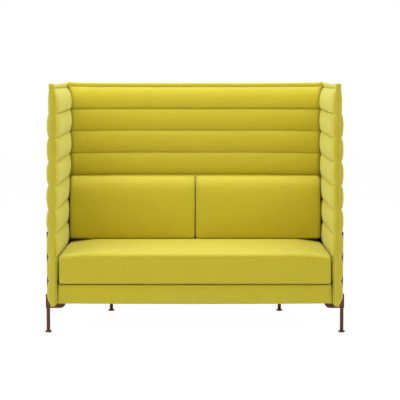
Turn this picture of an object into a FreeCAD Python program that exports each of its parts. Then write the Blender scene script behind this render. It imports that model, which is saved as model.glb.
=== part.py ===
# High back settee: two seats between three tall quilted panels on slim metal legs.
# Millimetres. +Z is up, the front faces -Y, +X is to the right of someone facing it.
# The origin is on the floor under the middle of the object.

import FreeCAD, Part
import math
import os

Vector = FreeCAD.Vector
os.makedirs("parts", exist_ok=True)

# Room and clearances
overall_depth = 840.0
soft_clearance = 0.3        # between soft pieces that can part
fit_clearance = 0.05        # radial, between a pin and its bore
side_gap = 4.7              # between the base or seat and the pads beside them
cushion_side_gap = 1.7      # between a back cushion and the side pad
cushion_split = 1.0         # between the two back cushions

# Panels
panel_half_span = 774.0     # from the middle to a side panel's middle plane, at its front edge
panel_toe_in = 10.0         # how much nearer the side panels are at the rear, over the depth
panel_bottom = 154.5
panel_top = 1365.0
band_thickness = 22.0
band_top_width = 24.0
band_end_width = 10.0
band_bottom_width = 8.0
band_rounding = 6.0
corner_gap = 6.0            # between the back panel's end and a side panel, closed by the zip

# Quilted pads on the panels, measured outwards from a panel's middle plane
top_channel = 138.0
channel_pitch = 130.0
least_channel = 70.0
seam_out = 19.0
crest_out = 34.0
squeezed_crest_out = 28.3   # where the seat and the base press on the inner pad
rim_lip = 1.5               # the pad's thickness where it is sewn to the band
end_taper = 34.0            # the length over which a pad's end rounds down to its rim
end_fullness = 0.08
taper_steps = 4

# Metal cradles, uprights and legs, from a panel's middle plane outwards
cradle_width = 24.0
cradle_outer = 45.6
cradle_bottom = 135.5
cradle_cheek_top = 216.0
cradle_cheek_inner = 23.0
cradle_throat = 13.5        # half the width of the seat that the panel's edge stands in
cradle_arm_reach = 62.9
cradle_end_rounding = 30.0
cradle_corner = 3.0
cheek_top_rounding = 8.0
cradle_edge_rounding = 1.5
leg_line = 33.5             # the legs and the uprights share this line
leg_setback = 90.0          # the front legs' centres, from the side panels' front edges
rear_leg_half_span = 500.0
leg_diameter = 20.0
leg_bore = 15.0
leg_boss_length = 20.0
upright_diameter = 12.0
upright_top = 557.0
upright_rounding = 5.0
upright_socket = 50.0

# Levelling feet
foot_diameter = 38.4
foot_sole_diameter = 29.0
foot_height = 11.0
foot_bevel_height = 5.0
foot_brim_height = 2.5
foot_neck_diameter = 20.0
stud_diameter = 8.0
stud_length = 26.0
insert_length = 20.0

# Fasteners
bolt_diameter = 6.0
bolt_head_diameter = 10.0
bolt_head_height = 4.0
bolt_line = 52.0            # from the panel's middle plane inwards
bolt_seat_height = 18.5     # above the cradle's bottom
bolt_grip = 30.0            # how far a bolt reaches into its rail
screw_diameter = 4.5
screw_reach = 10.0          # how far a screw enters the core
screw_end_margin = 40.0
screw_recess = 0.5

# Seat base
base_bottom = 172.0
base_top = 275.0
base_front_setback = 15.0   # behind the side panels' front edges
apron_thickness = 12.0
apron_rounding = 5.0
rail_thickness = 25.0
deck_thickness = 4.0
webbing_thickness = 3.0
webbing_width = 60.0
webbing_pitch = 78.0
webbing_side_margin = 12.0
middle_rail_height = 70.0
dust_cover_thickness = 2.0
dust_cover_recess = 2.0
corner_block_leg = 70.0
corner_block_height = 60.0
corner_block_lift = 10.0

# Seat cushion
seat_top = 455.0
seat_edge_radius = 36.0
seat_lower_radius = 10.0
seat_rear_radius = 12.0
seat_front_crown = 7.0      # the front face bulges this much in its middle height
seat_end_drop = 20.0        # how much lower the top is at its two ends
seat_crown_run = 190.0      # the length over which it falls
seat_end_draw = 12.0        # how much the front is drawn in at its two ends
seat_wall = 28.0
seat_pocket_depth_below_top = 60.0
closing_cloth = 2.0
end_crown_share = 0.2       # what is left of a cushion's front crown at its two ends

# Back cushions
back_cushion_top = 818.0
back_cushion_depth_bottom = 150.0
back_cushion_depth_top = 112.0
back_cushion_edge_radius = 40.0
back_cushion_rear_radius = 14.0
back_cushion_lower_radius = 14.0
back_cushion_crown = 9.0
back_cushion_end_draw = 16.0
back_cushion_end_run = 60.0
back_cushion_wall = 30.0
back_cushion_front_wall = 45.0

# Zips at the rear corners
zip_thickness = 3.0
zip_end_margin = 12.0
slider_width = 11.0
slider_depth = 5.0
slider_height = 18.0
pull_width = 5.0
pull_depth = 1.6
pull_length = 32.0
pull_hang = 6.0

# Worked-out places
front_y = -overall_depth / 2
rear_y = overall_depth / 2
toe_in_angle = math.atan2(panel_toe_in, overall_depth)
band_half = band_thickness / 2
back_middle_y = rear_y - leg_line - foot_diameter / 2
side_rear_y = back_middle_y + band_half
side_length = (side_rear_y - front_y) / math.cos(toe_in_angle)
core_bottom = panel_bottom + band_bottom_width
core_top = panel_top - band_top_width
squeeze_inset = squeezed_crest_out + side_gap
base_front_y = front_y + base_front_setback
base_rear_y = back_middle_y - squeeze_inset
rail_top = base_top - deck_thickness - webbing_thickness
cushion_rear_y = back_middle_y - crest_out - soft_clearance
seat_bottom = base_top + soft_clearance
leg_top = cradle_bottom


def side_line(y, inwards):
    """Half the width at y, to a line a given distance inwards of a side panel's middle plane."""
    middle = panel_half_span - (y - front_y) * math.tan(toe_in_angle)
    return middle - inwards / math.cos(toe_in_angle)


back_half_length = side_line(side_rear_y, band_half) - corner_gap


def mirrored(shape):
    """The same piece on the other side of the settee."""
    return shape.mirror(Vector(0, 0, 0), Vector(1, 0, 0))


def save(name, *shapes):
    """Writes one node; several shapes make a group of separate solids."""
    solids = [solid for shape in shapes for solid in shape.Solids]
    whole = solids[0] if len(solids) == 1 else Part.makeCompound(solids)
    whole.exportStep("parts/" + name + ".step")
    print(name, len(solids), "solid(s)", round(whole.Volume / 1000), "cm3")


def closed_wire(start, steps, place):
    """A closed outline. A step with one point is straight, one with two points is an arc."""
    edges = []
    here = start
    for step in steps:
        points = [place(here)] + [place(point) for point in step]
        curve = Part.LineSegment(*points) if len(step) == 1 else Part.Arc(*points)
        edges.append(curve.toShape())
        here = step[-1]
    return Part.Wire(edges)


def corner_middle(corner, radius, toward_a, toward_b):
    """The middle point of a rounded right-angled corner."""
    short = radius * (1 - math.sqrt(0.5))
    return (corner[0] + short * (toward_a[0] + toward_b[0]),
            corner[1] + short * (toward_a[1] + toward_b[1]))


def prism(plan, bottom, top):
    """An upright block over a plan outline of straight edges."""
    points = [Vector(x, y, bottom) for x, y in plan]
    face = Part.Face(Part.makePolygon(points + points[:1]))
    return face.extrude(Vector(0, 0, top - bottom))


def upright_cylinder(radius, x, y, bottom, top):
    return Part.makeCylinder(radius, top - bottom, Vector(x, y, bottom))


def on_right_panel(shape):
    """From a panel's own frame (outwards, backwards, up) to the right side panel."""
    placed = shape.copy()
    placed.rotate(Vector(0, 0, 0), Vector(0, 0, 1), math.degrees(toe_in_angle))
    placed.translate(Vector(panel_half_span, front_y, 0))
    return placed


def on_back_panel(shape):
    """From a panel's own frame to the back panel, whose length runs to the left."""
    placed = shape.copy()
    placed.rotate(Vector(0, 0, 0), Vector(0, 0, 1), 90)
    placed.translate(Vector(back_half_length, back_middle_y, 0))
    return placed


# Quilted panels, in their own frame: x outwards, y along, z up

def seam_heights():
    """The sewn lines between the channels, from the top one down."""
    heights = []
    height = core_top - top_channel
    while height > core_bottom + least_channel:
        heights.append(height)
        height -= channel_pitch
    return heights


def pad_section(along, fullness, crest_of):
    """One cross-section of a pad: a flat back on the core and an arc for each channel."""
    rim = band_half + rim_lip

    def out(distance):
        return rim + fullness * (distance - rim)

    levels = [core_bottom] + seam_heights()[::-1] + [core_top]
    steps = [((rim, core_bottom),)]
    for number in range(len(levels) - 1):
        low = levels[number]
        high = levels[number + 1]
        middle = (low + high) / 2
        end = rim if high == core_top else out(seam_out)
        steps.append(((out(crest_of(middle)), middle), (end, high)))
    steps.append(((band_half, core_top),))
    steps.append(((band_half, core_bottom),))
    return closed_wire((band_half, core_bottom), steps, lambda p: Vector(p[0], along, p[1]))


def pad(start, end, crest_of):
    """A quilted pad from start to end along the panel, rounded down to its rim at both ends."""
    ends = []
    for step in range(taper_steps + 1):
        turn = math.pi / 2 * step / taper_steps
        fullness = end_fullness + (1 - end_fullness) * math.sin(turn)
        ends.append((end_taper * (1 - math.cos(turn)), fullness))
    places = [(start + offset, fullness) for offset, fullness in ends]
    places += [(end - offset, fullness) for offset, fullness in ends[::-1]]
    sections = [pad_section(along, fullness, crest_of) for along, fullness in places]
    return Part.makeLoft(sections, True, True)


def plain_crest(height):
    return crest_out


def squeezed_crest(height):
    return squeezed_crest_out if height < seat_top else crest_out


def band(length):
    """The flat border band around a panel's edges."""
    outer = Part.makeBox(band_thickness, length, panel_top - panel_bottom,
                         Vector(-band_half, 0, panel_bottom))
    outer = outer.makeFillet(band_rounding, outer.Edges)
    inner = Part.makeBox(2 * band_thickness, length - 2 * band_end_width, core_top - core_bottom,
                         Vector(-band_thickness, band_end_width, core_bottom))
    return outer.cut(inner)


def core(length):
    return Part.makeBox(band_thickness, length - 2 * band_end_width, core_top - core_bottom,
                        Vector(-band_half, band_end_width, core_bottom))


# Cradle, upright, leg and foot, in the panel's own frame at y = 0

def cradle_profile():
    """The U that holds a panel's lower edge, with its outer cheek and its arm under the base."""
    outer = cradle_outer
    foot = cradle_bottom
    small = cradle_corner
    crown = cheek_top_rounding
    cheek = cradle_cheek_top
    inner = cradle_cheek_inner
    end = -cradle_arm_reach
    big = cradle_end_rounding
    bottom_corner = corner_middle((outer, foot), small, (-1, 0), (0, 1))
    cheek_corner = corner_middle((outer, cheek), crown, (-1, 0), (0, -1))
    end_corner = corner_middle((end, foot), big, (1, 0), (0, 1))
    steps = [
        ((outer - small, foot),),
        (bottom_corner, (outer, foot + small)),
        ((outer, cheek - crown),),
        (cheek_corner, (outer - crown, cheek)),
        ((inner, cheek),),
        ((inner, base_bottom + small),),
        ((cradle_throat, panel_bottom),),
        ((-cradle_throat, panel_bottom),),
        ((-inner, base_bottom),),
        ((end, base_bottom),),
        ((end, foot + big),),
        (end_corner, (end + big, foot)),
    ]
    return (end + big, foot), steps


def cradle_block(grow):
    """The cradle's solid shape, or its shape grown on every side to give the pads room."""
    start, steps = cradle_profile()
    wire = closed_wire(start, steps, lambda p: Vector(p[0], -cradle_width / 2 - grow, p[1]))
    face = Part.Face(wire)
    if grow:
        face = face.makeOffset2D(grow, 2, False, False, False)
    return face.extrude(Vector(0, cradle_width + 2 * grow, 0))


def rounded_cradle_block():
    """The cast shape with its outline edges softened."""
    block = cradle_block(0)
    half = cradle_width / 2
    outline = [edge for edge in block.Edges
               if edge.BoundBox.YLength < half
               and abs(edge.BoundBox.ZMin - base_bottom) > 0.01]
    return block.makeFillet(cradle_edge_rounding, outline)


socket_bottom = cradle_cheek_top - upright_socket
bolt_seat = cradle_bottom + bolt_seat_height


def cradle():
    boss = upright_cylinder(leg_bore / 2 - fit_clearance, leg_line, 0,
                            leg_top - leg_boss_length, leg_top + cradle_corner)
    block = rounded_cradle_block().fuse(boss).removeSplitter()
    socket = upright_cylinder(upright_diameter / 2 + fit_clearance, leg_line, 0,
                              socket_bottom, cradle_cheek_top)
    hole = upright_cylinder(bolt_diameter / 2 + fit_clearance, -bolt_line, 0,
                            cradle_bottom, base_bottom)
    recess = upright_cylinder(bolt_head_diameter / 2 + fit_clearance, -bolt_line, 0,
                              cradle_bottom, bolt_seat)
    return block.cut(socket).cut(hole).cut(recess)


screw_heights = [cradle_cheek_top + screw_end_margin, upright_top - screw_end_margin]


def screw_cylinder(radius, height):
    start = band_half - screw_reach
    reach = leg_line + upright_diameter / 2 - screw_recess - start
    return Part.makeCylinder(radius, reach, Vector(start, 0, height), Vector(1, 0, 0))


def screw_holes():
    radius = screw_diameter / 2 + fit_clearance
    first, second = [screw_cylinder(radius, height) for height in screw_heights]
    return first.fuse(second)


def upright():
    """A rod with a rounded top that stands in the cradle's cheek and holds the panel."""
    rod = upright_cylinder(upright_diameter / 2, leg_line, 0, socket_bottom, upright_top)
    rims = [edge for edge in rod.Edges
            if abs(edge.BoundBox.ZMin - upright_top) < 0.01 and edge.BoundBox.XLength > 1]
    return rod.makeFillet(upright_rounding, rims)


def upright_with_holes():
    holes = screw_holes()
    run_out = Part.makeCylinder(screw_diameter / 2 + fit_clearance, upright_diameter,
                                Vector(leg_line, 0, screw_heights[0]), Vector(1, 0, 0))
    second_run_out = run_out.translated(Vector(0, 0, screw_heights[1] - screw_heights[0]))
    return upright().cut(holes).cut(run_out).cut(second_run_out)


def holder_room():
    """The room that a pad leaves for the cradle and the upright that press into it."""
    rod = upright_cylinder(upright_diameter / 2 + soft_clearance, leg_line, 0,
                           socket_bottom, upright_top + soft_clearance)
    return cradle_block(soft_clearance).fuse(rod)


def leg():
    tube = upright_cylinder(leg_diameter / 2, leg_line, 0, foot_height, leg_top)
    return tube.cut(upright_cylinder(leg_bore / 2, leg_line, 0, foot_height, leg_top))


def leg_insert():
    bush = upright_cylinder(leg_bore / 2 - fit_clearance, leg_line, 0,
                            foot_height, foot_height + insert_length)
    return bush.cut(upright_cylinder(stud_diameter / 2 + fit_clearance, leg_line, 0,
                                     foot_height, foot_height + insert_length))


def foot():
    """A disc with a bevelled underside and a short cone on top, turned about its stud."""
    sole = foot_sole_diameter / 2
    brim = foot_diameter / 2
    neck = foot_neck_diameter / 2
    stud = stud_diameter / 2
    top = foot_height + stud_length
    outline = [(0, 0), (sole, 0), (brim, foot_bevel_height),
               (brim, foot_bevel_height + foot_brim_height), (neck, foot_height),
               (stud, foot_height), (stud, top - stud / 2), (stud / 2, top), (0, top)]
    points = [Vector(leg_line + across, 0, height) for across, height in outline]
    face = Part.Face(Part.makePolygon(points + points[:1]))
    return face.revolve(Vector(leg_line, 0, 0), Vector(0, 0, 1), 360)


def bolt():
    head = upright_cylinder(bolt_head_diameter / 2, -bolt_line, 0,
                            bolt_seat - bolt_head_height, bolt_seat)
    shank = upright_cylinder(bolt_diameter / 2, -bolt_line, 0,
                             bolt_seat, base_bottom + bolt_grip)
    return head.fuse(shank).removeSplitter()


def bolt_hole():
    return upright_cylinder(bolt_diameter / 2 + fit_clearance, -bolt_line, 0,
                            base_bottom, base_bottom + bolt_grip)


def at_front_leg(shape):
    return on_right_panel(shape.translated(Vector(0, leg_setback, 0)))


def at_rear_leg(shape):
    return on_back_panel(shape.translated(Vector(0, back_half_length - rear_leg_half_span, 0)))


def make_supports():
    makers = [("cradle", cradle()), ("upright", upright_with_holes()), ("leg", leg()),
              ("leg_insert", leg_insert()), ("foot", foot())]
    for name, piece in makers:
        for end, place in (("front", at_front_leg), ("rear", at_rear_leg)):
            right = place(piece)
            save(end + "_right_" + name, right)
            save(end + "_left_" + name, mirrored(right))
    bolts = [place(bolt()) for place in (at_front_leg, at_rear_leg)]
    screws = [place(screw_cylinder(screw_diameter / 2, height))
              for place in (at_front_leg, at_rear_leg) for height in screw_heights]
    for name, group in (("cradle_bolts", bolts), ("panel_screws", screws)):
        save(name, *group, *[mirrored(piece) for piece in group])


def make_panels():
    """The side panels and the back panel, each of a core, a band and two pads."""
    start = band_end_width
    side_end = side_length - band_end_width
    room = holder_room().translated(Vector(0, leg_setback, 0))
    holes = screw_holes().translated(Vector(0, leg_setback, 0))
    inner_end = (back_middle_y - crest_out - soft_clearance - front_y) / math.cos(toe_in_angle)
    pieces = {
        "core": core(side_length).cut(holes),
        "band": band(side_length),
        "outer_pad": pad(start, side_end, plain_crest).cut(room).cut(holes),
        "inner_pad": mirrored(pad(start, inner_end, squeezed_crest)).cut(room),
    }
    for name, piece in pieces.items():
        right = on_right_panel(piece)
        save("right_panel_" + name, right)
        save("left_panel_" + name, mirrored(right))

    length = 2 * back_half_length
    places = [back_half_length - rear_leg_half_span, back_half_length + rear_leg_half_span]
    rooms = [holder_room().translated(Vector(0, along, 0)) for along in places]
    drills = [screw_holes().translated(Vector(0, along, 0)) for along in places]
    end = length - band_end_width
    pieces = {
        "core": core(length).cut(drills),
        "band": band(length),
        "outer_pad": pad(start, end, plain_crest).cut(rooms).cut(drills),
        "inner_pad": mirrored(pad(start, end, squeezed_crest)).cut(rooms),
    }
    for name, piece in pieces.items():
        save("back_panel_" + name, on_back_panel(piece))


# Seat base

def side_strip(inset, thickness, start_y, end_y):
    """The plan of a strip along the right side, a given distance in from the middle plane."""
    far = inset + thickness
    return [(side_line(start_y, inset), start_y), (side_line(end_y, inset), end_y),
            (side_line(end_y, far), end_y), (side_line(start_y, far), start_y)]


def cross_strip(inset, start_y, end_y):
    """The plan of a strip across the settee between the two side lines."""
    return [(-side_line(start_y, inset), start_y), (side_line(start_y, inset), start_y),
            (side_line(end_y, inset), end_y), (-side_line(end_y, inset), end_y)]


def front_apron():
    """The upholstered front of the base, rounded along its top and bottom edges."""
    low = base_bottom
    high = base_top
    near = base_front_y
    far = base_front_y + apron_thickness
    r = apron_rounding
    steps = [
        ((far, high),),
        ((near + r, high),),
        (corner_middle((near, high), r, (1, 0), (0, -1)), (near, high - r)),
        ((near, low + r),),
        (corner_middle((near, low), r, (1, 0), (0, 1)), (near + r, low)),
        ((far, low),),
    ]
    ends = [closed_wire((far, low), steps,
                        lambda p, side=side: Vector(side * side_line(p[0], squeeze_inset), *p))
            for side in (-1, 1)]
    return Part.makeLoft(ends, True, True)


def make_base():
    inner = squeeze_inset + apron_thickness
    rail_inner = inner + rail_thickness
    front_inside = base_front_y + apron_thickness
    rear_inside = base_rear_y - apron_thickness
    front_clear = front_inside + rail_thickness
    rear_clear = rear_inside - rail_thickness
    holes = [at_front_leg(bolt_hole()), at_rear_leg(bolt_hole())]
    holes += [mirrored(hole) for hole in holes]

    save("front_apron", front_apron())
    save("rear_apron", prism(cross_strip(squeeze_inset, rear_inside, base_rear_y),
                             base_bottom, base_top))
    right_apron = prism(side_strip(squeeze_inset, apron_thickness, front_inside, rear_inside),
                        base_bottom, base_top)
    save("right_apron", right_apron)
    save("left_apron", mirrored(right_apron))

    save("front_rail", prism(cross_strip(inner, front_inside, front_clear),
                             base_bottom, rail_top))
    save("rear_rail", prism(cross_strip(inner, rear_clear, rear_inside),
                            base_bottom, rail_top).cut(holes))
    right_rail = prism(side_strip(inner, rail_thickness, front_clear, rear_clear),
                       base_bottom, rail_top).cut(holes)
    save("right_rail", right_rail)
    save("left_rail", mirrored(right_rail))
    half = rail_thickness / 2
    save("middle_rail", prism([(-half, front_clear), (half, front_clear),
                               (half, rear_clear), (-half, rear_clear)],
                              rail_top - middle_rail_height, rail_top))

    blocks = []
    for y, way in ((front_clear, 1), (rear_clear, -1)):
        tip = y + way * corner_block_leg
        plan = [(side_line(y, rail_inner), y), (side_line(tip, rail_inner), tip),
                (side_line(y, rail_inner) - corner_block_leg, y)]
        low = base_bottom + corner_block_lift
        block = prism(plan, low, low + corner_block_height)
        blocks += [block, mirrored(block)]
    save("corner_blocks", *blocks)

    room = side_line(rear_inside, rail_inner) - webbing_side_margin - webbing_width / 2
    each_side = int(room // webbing_pitch)
    straps = []
    for number in range(-each_side, each_side + 1):
        middle = number * webbing_pitch
        half = webbing_width / 2
        straps.append(prism([(middle - half, front_inside), (middle + half, front_inside),
                             (middle + half, rear_inside), (middle - half, rear_inside)],
                            rail_top, rail_top + webbing_thickness))
    save("seat_webbing", *straps)
    save("deck_cloth", prism(cross_strip(inner, front_inside, rear_inside),
                             base_top - deck_thickness, base_top))
    low = base_bottom + dust_cover_recess
    save("dust_cover", prism(cross_strip(rail_inner, front_clear, rear_clear),
                             low, low + dust_cover_thickness))


# Cushions

def crown_share(near_end):
    """How much of a front face's crown is left, from 0 away from an end to 1 at the end."""
    return 1 - (1 - end_crown_share) * near_end ** 2


def seat_section(offset, place):
    """One section across the seat cushion, a distance in from its end: drawn in and lower there."""
    near_end = max(0.0, 1 - offset / seat_crown_run)
    at_end = max(0.0, 1 - offset / seat_end_draw)
    round_in = seat_end_draw * (1 - math.sqrt(1 - at_end ** 2))
    top = seat_top - seat_end_drop * near_end ** 2 - round_in
    low = seat_bottom + round_in
    near = base_front_y + round_in
    far = base_rear_y - round_in
    r = seat_edge_radius - round_in
    small = seat_lower_radius
    back = seat_rear_radius
    middle = (low + small + top - r) / 2
    steps = [
        ((far - small, low),),
        (corner_middle((far, low), small, (-1, 0), (0, 1)), (far, low + small)),
        ((far, top - back),),
        (corner_middle((far, top), back, (-1, 0), (0, -1)), (far - back, top)),
        ((near + r, top),),
        (corner_middle((near, top), r, (1, 0), (0, -1)), (near, top - r)),
        ((near - seat_front_crown * crown_share(near_end), middle), (near, low + small)),
        (corner_middle((near, low), small, (1, 0), (0, 1)), (near + small, low)),
    ]
    return closed_wire((near + small, low), steps, place)


def seat_offsets():
    ends = [0.0, 0.15, 0.45, 1.0]
    runs = [0.25, 0.45, 0.7, 1.0]
    return [seat_end_draw * share for share in ends] + [seat_crown_run * share for share in runs]


def seat_block():
    sections = []
    offsets = seat_offsets()
    for side, order in ((-1, offsets), (1, offsets[::-1])):
        for offset in order:
            inset = squeeze_inset + offset
            sections.append(seat_section(
                offset,
                lambda p, side=side, inset=inset: Vector(side * side_line(p[0], inset), *p)))
    return Part.makeLoft(sections, True, True)


def make_seat_cushion():
    near = base_front_y + seat_wall
    far = base_rear_y - seat_wall
    inset = squeeze_inset + seat_wall
    pocket_top = seat_top - seat_pocket_depth_below_top
    cloth_top = seat_bottom + closing_cloth
    pocket = prism(cross_strip(inset, near, far), seat_bottom, pocket_top)
    gap = fit_clearance
    plan = cross_strip(inset + gap, near + gap, far - gap)
    save("seat_cushion_cover", seat_block().cut(pocket))
    save("seat_cushion_foam", prism(plan, cloth_top, pocket_top - gap))
    save("seat_cushion_closing_cloth", prism(plan, seat_bottom, cloth_top))


back_cushion_bottom = seat_top + soft_clearance


def back_cushion_section(offset, place):
    """One section of a back cushion, from its rear face to its leaning front face."""
    near_end = max(0.0, 1 - offset / back_cushion_end_run)
    at_end = max(0.0, 1 - offset / back_cushion_end_draw)
    round_in = back_cushion_end_draw * (1 - math.sqrt(1 - at_end ** 2))
    top = back_cushion_top - round_in
    low = back_cushion_bottom + round_in
    far = cushion_rear_y - round_in / 2
    front_low = cushion_rear_y - back_cushion_depth_bottom + round_in
    front_high = cushion_rear_y - back_cushion_depth_top + round_in
    lean = (front_high - front_low) / (top - low)
    r = back_cushion_edge_radius - round_in
    small = back_cushion_lower_radius
    back = back_cushion_rear_radius
    upper = (front_high - lean * r, top - r)
    lower = (front_low + lean * small, low + small)
    crown = back_cushion_crown * crown_share(near_end)
    middle = ((upper[0] + lower[0]) / 2 - crown, (upper[1] + lower[1]) / 2)
    steps = [
        ((far - small, low),),
        (corner_middle((far, low), small, (-1, 0), (0, 1)), (far, low + small)),
        ((far, top - back),),
        (corner_middle((far, top), back, (-1, 0), (0, -1)), (far - back, top)),
        ((front_high + r, top),),
        (corner_middle((front_high, top), r, (1, 0), (0, -1)), upper),
        (middle, lower),
        (corner_middle((front_low, low), small, (1, 0), (0, 1)), (front_low + small, low)),
    ]
    return closed_wire((front_low + small, low), steps, place)


def back_cushion_block():
    inset = crest_out + cushion_side_gap
    draws = [back_cushion_end_draw * share for share in (0.0, 0.15, 0.45, 1.0)]
    offsets = draws + [back_cushion_end_run]
    sections = []
    for offset in offsets:
        x = cushion_split / 2 + offset
        sections.append(back_cushion_section(offset, lambda p, x=x: Vector(x, *p)))
    for offset in offsets[::-1]:
        far_in = inset + offset
        sections.append(back_cushion_section(
            offset, lambda p, far_in=far_in: Vector(side_line(p[0], far_in), *p)))
    return Part.makeLoft(sections, True, True)


def make_back_cushions():
    """Each has a cover with a pocket that opens to the rear, a foam and a closing cloth."""
    far = cushion_rear_y
    near = far - back_cushion_depth_top + back_cushion_front_wall
    inset = crest_out + cushion_side_gap + back_cushion_wall
    low = back_cushion_bottom + back_cushion_wall
    high = back_cushion_top - back_cushion_wall
    cloth_y = far - closing_cloth
    left = cushion_split / 2 + back_cushion_wall

    def block(near_y, far_y, gap):
        plan = [(left + gap, near_y), (side_line(far, inset + gap), near_y),
                (side_line(far, inset + gap), far_y), (left + gap, far_y)]
        return prism(plan, low + gap, high - gap)

    pieces = {
        "cover": back_cushion_block().cut(block(near, far, 0)),
        "foam": block(near + fit_clearance, cloth_y, fit_clearance),
        "closing_cloth": block(cloth_y, far, fit_clearance),
    }
    for name, piece in pieces.items():
        save("right_back_cushion_" + name, piece)
        save("left_back_cushion_" + name, mirrored(piece))


# Zips

def make_zips():
    """A tape closes the gap at each rear corner, with a slider behind its upper end."""
    near = side_rear_y - zip_thickness
    plan = [(back_half_length, near), (side_line(near, band_half), near),
            (side_line(side_rear_y, band_half), side_rear_y), (back_half_length, side_rear_y)]
    top = panel_top - band_rounding - zip_end_margin
    tape = prism(plan, panel_bottom + band_rounding + zip_end_margin, top)
    middle = back_half_length + corner_gap / 2
    slider_y = side_rear_y + soft_clearance
    body = Part.makeBox(slider_width, slider_depth, slider_height,
                        Vector(middle - slider_width / 2, slider_y, top - slider_height))
    upright_edges = [edge for edge in body.Edges if edge.BoundBox.ZLength > 1]
    body = body.makeFillet(slider_depth / 3, upright_edges)
    pull_top = top - pull_hang
    pull = Part.makeBox(pull_width, pull_depth, pull_length,
                        Vector(middle - pull_width / 2, slider_y + slider_depth,
                               pull_top - pull_length))
    slider = body.fuse(pull).removeSplitter()
    for name, piece in (("zip_tape", tape), ("zip_slider", slider)):
        save("right_" + name, piece)
        save("left_" + name, mirrored(piece))


make_supports()
make_panels()
make_base()
make_seat_cushion()
make_back_cushions()
make_zips()
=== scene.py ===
import math

import bmesh
import bpy
import numpy as np
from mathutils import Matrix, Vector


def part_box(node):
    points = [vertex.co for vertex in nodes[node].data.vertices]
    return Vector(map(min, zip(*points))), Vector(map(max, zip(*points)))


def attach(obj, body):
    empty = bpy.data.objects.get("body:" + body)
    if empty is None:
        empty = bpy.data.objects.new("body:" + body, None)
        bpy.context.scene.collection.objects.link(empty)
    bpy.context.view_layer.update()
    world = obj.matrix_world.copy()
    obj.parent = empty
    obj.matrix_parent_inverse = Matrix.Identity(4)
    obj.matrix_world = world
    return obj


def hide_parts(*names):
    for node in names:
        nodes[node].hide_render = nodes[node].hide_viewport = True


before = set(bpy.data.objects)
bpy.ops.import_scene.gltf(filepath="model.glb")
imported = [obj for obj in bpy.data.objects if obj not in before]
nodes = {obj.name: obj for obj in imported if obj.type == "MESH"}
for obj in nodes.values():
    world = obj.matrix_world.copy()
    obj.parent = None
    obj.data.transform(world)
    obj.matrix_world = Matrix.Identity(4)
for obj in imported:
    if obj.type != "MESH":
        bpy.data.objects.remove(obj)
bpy.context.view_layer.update()        # the settee's frame: metres, +Z up, front towards -Y
print("stage: frame loaded,", len(nodes), "nodes")


# Room, camera and lamps

view = dict(place=(0.0274, -9.023, 1.540), tiltDown=5.324, lens=143.9, sensor=36.0)

lamps = [
    dict(name="top", place=(0.0, 0.3, 3.6), aim=(0.0, -0.2, 0.4), size=(4.2, 1.8), power=84.0),
    dict(name="top front", place=(0.0, -0.7, 3.6), aim=(0.0, -0.1, 0.4), size=(4.2, 1.6), power=46.0),
    dict(name="high left", place=(-2.6, -2.6, 3.4), aim=(0.2, 0.0, 0.6), size=(2.4, 2.2), power=50.0),
    dict(name="high right", place=(2.6, -2.6, 3.4), aim=(-0.2, 0.0, 0.6), size=(2.4, 2.2), power=28.0),
    dict(name="left", place=(-4.4, -1.2, 1.9), aim=(0.0, 0.0, 0.7), size=(2.4, 2.4), power=44.0),
    dict(name="right", place=(4.4, -1.2, 1.9), aim=(0.0, 0.0, 0.7), size=(2.4, 2.4), power=44.0),
    dict(name="front", place=(0.3, -6.6, 2.0), aim=(0.0, 0.0, 0.6), size=(3.0, 1.6), power=8.0),
]

room = dict(
    floorHalf=14.0, worldLight=0.10, floorShare=0.93, floorGlow=1.06, floorTone=(0.93, 0.93, 0.92))


def link(piece):
    bpy.context.scene.collection.objects.link(piece)


def makeCamera():
    data = bpy.data.cameras.new("camera")
    data.lens = view["lens"]
    data.sensor_width = view["sensor"]
    camera = bpy.data.objects.new("camera", data)
    camera.location = view["place"]
    camera.rotation_euler = (math.radians(90 - view["tiltDown"]), 0, 0)
    link(camera)
    bpy.context.scene.camera = camera


def makeLamps():
    for lamp in lamps:
        data = bpy.data.lights.new(lamp["name"], "AREA")
        data.shape = "RECTANGLE"
        data.size, data.size_y = lamp["size"]
        data.energy = lamp["power"]
        piece = bpy.data.objects.new(lamp["name"], data)
        piece.location = lamp["place"]
        toAim = Vector(lamp["aim"]) - piece.location
        piece.rotation_euler = toAim.to_track_quat("-Z", "Y").to_euler()
        link(piece)


# Shader maths: a wrapped socket, whose operators add Math nodes

class Wave:
    def __init__(self, maker, socket):
        self.maker = maker
        self.socket = socket

    def math(self, operation, *others, clamp=False, first=None):
        values = dict(enumerate((self, *others) if first is None else (first, self)))
        return self.maker.add("ShaderNodeMath", dict(operation=operation, use_clamp=clamp), values)[0]

    def __add__(self, other):
        return self.math("ADD", other)

    def __sub__(self, other):
        return self.math("SUBTRACT", other)

    def __mul__(self, other):
        return self.math("MULTIPLY", other)

    def __rsub__(self, other):
        return self.math("SUBTRACT", first=other)

    __radd__ = __add__
    __rmul__ = __mul__


class Picked:
    # the outputs of a node, by name or number, each as a Wave
    def __init__(self, maker, node):
        self.maker = maker
        self.node = node

    def __getitem__(self, key):
        return Wave(self.maker, self.node.outputs[key])


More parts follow.
